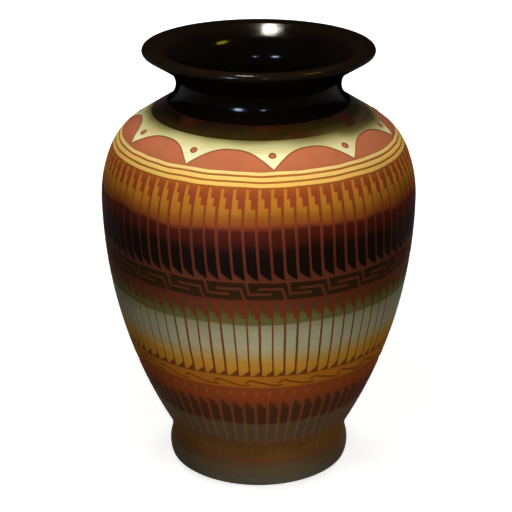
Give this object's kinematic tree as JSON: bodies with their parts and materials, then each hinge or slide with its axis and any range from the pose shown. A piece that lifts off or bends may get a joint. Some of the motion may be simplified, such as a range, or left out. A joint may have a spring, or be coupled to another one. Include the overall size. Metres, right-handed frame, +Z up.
{
  "type": "pottery jar",
  "caption": "Footed earthenware jar with a full belly, waisted neck and flared lip, etched slip bands and black glaze, for holding flowers or dry goods.",
  "frame": {"origin": "middle of the foot, on the surface that the jar stands on", "axes": "+Z up along the jar's axis of turning, -Y towards the viewer of the picture, +X to the viewer's right"},
  "size_m": [0.2168, 0.2168, 0.3],
  "materials": {
    "clay": "bare fired earthenware, matte",
    "foot_slip": "olive brown slip, matte",
    "lower_bar_slip": "dark brown to grey green slip, matte, etched",
    "scroll_slip": "gold ochre slip, matte, etched",
    "celadon_slip": "green, celadon and gold slip, matte, etched",
    "meander_slip": "olive black slip, matte, etched",
    "sunset_slip": "gold to maroon to black slip, satin, etched",
    "stripe_slip": "gold slip, satin",
    "cream_slip": "cream slip, satin, scalloped",
    "collar_slip": "dark olive slip, satin",
    "black_glaze": "black gloss glaze"
  },
  "bodies": {
    "root": {"foot_ring": "clay", "base_disc": "clay", "lower_wall": "clay", "belly_wall": "clay", "shoulder": "clay", "neck": "clay", "rim": "clay", "foot_slip": "foot_slip", "lower_bar_slip": "lower_bar_slip", "scroll_slip": "scroll_slip", "celadon_slip": "celadon_slip", "meander_slip": "meander_slip", "sunset_slip": "sunset_slip", "stripe_slip": "stripe_slip", "cream_slip": "cream_slip", "collar_slip": "collar_slip", "neck_glaze": "black_glaze", "inside_glaze": "black_glaze"}
  },
  "joints": []
}
